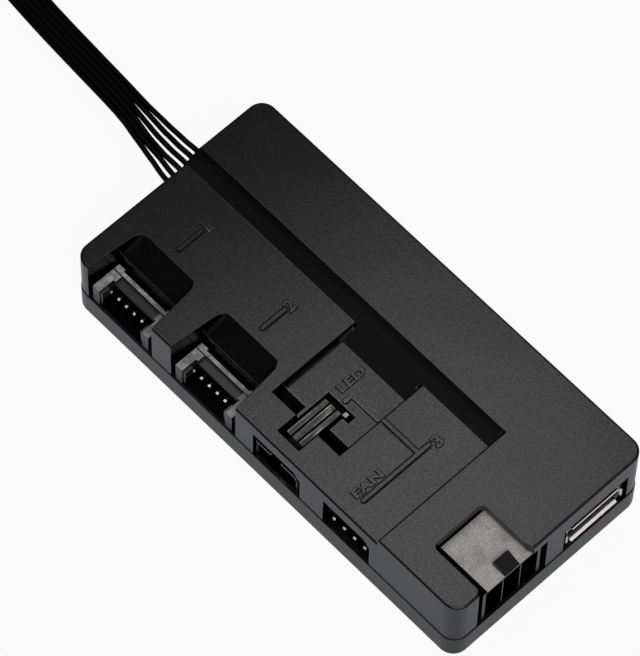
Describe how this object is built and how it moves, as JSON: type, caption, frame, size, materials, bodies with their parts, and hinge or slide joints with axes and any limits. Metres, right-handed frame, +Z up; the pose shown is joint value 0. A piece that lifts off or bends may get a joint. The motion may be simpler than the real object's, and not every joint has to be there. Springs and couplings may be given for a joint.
{
  "type": "pc fan controller hub",
  "caption": "Flat black hub that feeds and controls case fans and lights, with scooped fan ports, a latched light port, a power inlet, a USB socket and a six-wire lead.",
  "frame": {"origin": "under the middle of the case, on the surface it lies on", "axes": "+X towards the end with the power inlet and USB socket, -Y towards the fan and light ports, +Z up"},
  "size_m": [0.2551, 0.0547, 0.0188],
  "materials": {
    "cover_plastic": "fine spark texture, satin",
    "tray_plastic": "fine spark texture, satin",
    "port_nylon": "moulded nylon",
    "socket_nylon": "moulded nylon",
    "tinned_pins": "bright tin",
    "usb_steel": "bright nickel plate",
    "usb_insulator": "moulded",
    "board_laminate": "solder mask",
    "chip_resin": "moulded resin",
    "can_metal": "drawn can",
    "screw_steel": "black plated",
    "lead_nylon": "moulded nylon",
    "wire_jacket": "soft vinyl",
    "tie_plastic": "coated wire"
  },
  "bodies": {
    "root": {"top_cover": "cover_plastic", "base_tray": "tray_plastic", "port_1_shell": "port_nylon", "port_2_shell": "port_nylon", "light_socket": "socket_nylon", "fan_header": "socket_nylon", "power_inlet": "socket_nylon", "port_1_pins": "tinned_pins", "port_2_pins": "tinned_pins", "light_pins": "tinned_pins", "fan_pins": "tinned_pins", "power_pins": "tinned_pins", "lead_pins": "tinned_pins", "usb_contacts": "tinned_pins", "chip_leads": "tinned_pins", "usb_shell": "usb_steel", "usb_tongue": "usb_insulator", "circuit_board": "board_laminate", "controller_chip": "chip_resin", "regulators": "chip_resin", "inductor": "chip_resin", "capacitors": "can_metal", "crystal": "can_metal", "case_screws": "screw_steel", "lead_socket": "lead_nylon", "lead_plug": "lead_nylon", "end_connector": "lead_nylon", "lead_wires": "wire_jacket", "flat_lead": "wire_jacket", "lead_hank": "wire_jacket", "lead_tail": "wire_jacket", "hank_ties": "tie_plastic"}
  },
  "joints": []
}
